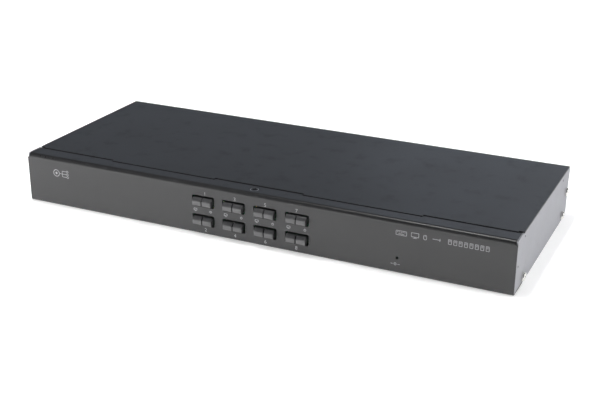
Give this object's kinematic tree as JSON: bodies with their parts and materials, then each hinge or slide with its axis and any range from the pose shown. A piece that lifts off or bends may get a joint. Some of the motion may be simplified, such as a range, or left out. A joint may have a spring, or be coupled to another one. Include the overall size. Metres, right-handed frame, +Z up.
{
  "type": "kvm switch",
  "caption": "Rack-width keyboard, video and mouse switch: low black steel case, bare steel sides, two rows of split lit push keys, ports behind.",
  "frame": {"origin": "centre of the underside of the case, on the surface that it stands on", "axes": "+X to the right as seen from the front, the front panel looks along -Y, +Z up"},
  "size_m": [0.445, 0.1838, 0.0445],
  "materials": {
    "black_powder_coat": "fine-textured satin powder coat",
    "zinc_plated_steel": "bright zinc plate, matt",
    "nickel_plate": "bright nickel plate",
    "grey_key_plastic": "light grey moulded plastic, fine satin",
    "black_plastic": "black moulded plastic",
    "clear_plastic": "milky lamp lens",
    "circuit_board": "green solder resist",
    "blue_plastic": "blue moulded plastic",
    "purple_plastic": "purple moulded plastic",
    "green_plastic": "green moulded plastic",
    "capacitor_sleeve": "dark blue shrink sleeve",
    "anodised_aluminium": "black anodised",
    "grey_cable": "grey ribbon cable"
  },
  "bodies": {
    "case": {"front_panel": "black_powder_coat", "chassis_tray": "zinc_plated_steel", "top_cover": "black_powder_coat", "cover_screw": "nickel_plate", "rear_screws": "nickel_plate", "side_screws": "nickel_plate", "switch_housings": "black_plastic", "key_lamps": "clear_plastic", "key_board": "circuit_board", "key_board_posts": "nickel_plate", "key_board_screws": "nickel_plate", "reset_switch": "black_plastic", "main_board": "circuit_board", "board_standoffs": "nickel_plate", "board_screws": "nickel_plate", "video_shells": "nickel_plate", "video_inserts": "blue_plastic", "jack_screws": "nickel_plate", "keyboard_socket": "purple_plastic", "mouse_socket": "green_plastic", "din_shields": "nickel_plate", "dc_jack": "black_plastic", "dc_pin": "nickel_plate", "ground_screw": "nickel_plate", "chips": "black_plastic", "capacitors": "capacitor_sleeve", "regulator": "black_plastic", "heat_sink": "anodised_aluminium", "beeper": "black_plastic", "crystal": "nickel_plate", "ribbon_cable": "grey_cable", "ribbon_headers": "black_plastic"},
    "key_1": {"key_cap_1": "grey_key_plastic", "light_barrier_1": "black_plastic", "key_plunger_1": "black_plastic"},
    "key_2": {"key_cap_2": "grey_key_plastic", "light_barrier_2": "black_plastic", "key_plunger_2": "black_plastic"},
    "key_3": {"key_cap_3": "grey_key_plastic", "light_barrier_3": "black_plastic", "key_plunger_3": "black_plastic"},
    "key_4": {"key_cap_4": "grey_key_plastic", "light_barrier_4": "black_plastic", "key_plunger_4": "black_plastic"},
    "key_5": {"key_cap_5": "grey_key_plastic", "light_barrier_5": "black_plastic", "key_plunger_5": "black_plastic"},
    "key_6": {"key_cap_6": "grey_key_plastic", "light_barrier_6": "black_plastic", "key_plunger_6": "black_plastic"},
    "key_7": {"key_cap_7": "grey_key_plastic", "light_barrier_7": "black_plastic", "key_plunger_7": "black_plastic"},
    "key_8": {"key_cap_8": "grey_key_plastic", "light_barrier_8": "black_plastic", "key_plunger_8": "black_plastic"},
    "reset": {"reset_plunger": "black_plastic"}
  },
  "joints": [
    {"name": "key_1_press", "type": "slide", "parent": "case", "child": "key_1", "axis": [0, 1, 0], "range_m": [0, 0.001], "stiffness_N_per_m": 700, "springref_m": -0.0008},
    {"name": "key_2_press", "type": "slide", "parent": "case", "child": "key_2", "axis": [0, 1, 0], "range_m": [0, 0.001], "stiffness_N_per_m": 700, "springref_m": -0.0008},
    {"name": "key_3_press", "type": "slide", "parent": "case", "child": "key_3", "axis": [0, 1, 0], "range_m": [0, 0.001], "stiffness_N_per_m": 700, "springref_m": -0.0008},
    {"name": "key_4_press", "type": "slide", "parent": "case", "child": "key_4", "axis": [0, 1, 0], "range_m": [0, 0.001], "stiffness_N_per_m": 700, "springref_m": -0.0008},
    {"name": "key_5_press", "type": "slide", "parent": "case", "child": "key_5", "axis": [0, 1, 0], "range_m": [0, 0.001], "stiffness_N_per_m": 700, "springref_m": -0.0008},
    {"name": "key_6_press", "type": "slide", "parent": "case", "child": "key_6", "axis": [0, 1, 0], "range_m": [0, 0.001], "stiffness_N_per_m": 700, "springref_m": -0.0008},
    {"name": "key_7_press", "type": "slide", "parent": "case", "child": "key_7", "axis": [0, 1, 0], "range_m": [0, 0.001], "stiffness_N_per_m": 700, "springref_m": -0.0008},
    {"name": "key_8_press", "type": "slide", "parent": "case", "child": "key_8", "axis": [0, 1, 0], "range_m": [0, 0.001], "stiffness_N_per_m": 700, "springref_m": -0.0008},
    {"name": "reset_press", "type": "slide", "parent": "case", "child": "reset", "axis": [0, 1, 0], "range_m": [0, 0.0003], "stiffness_N_per_m": 1200, "springref_m": -0.0004}
  ]
}
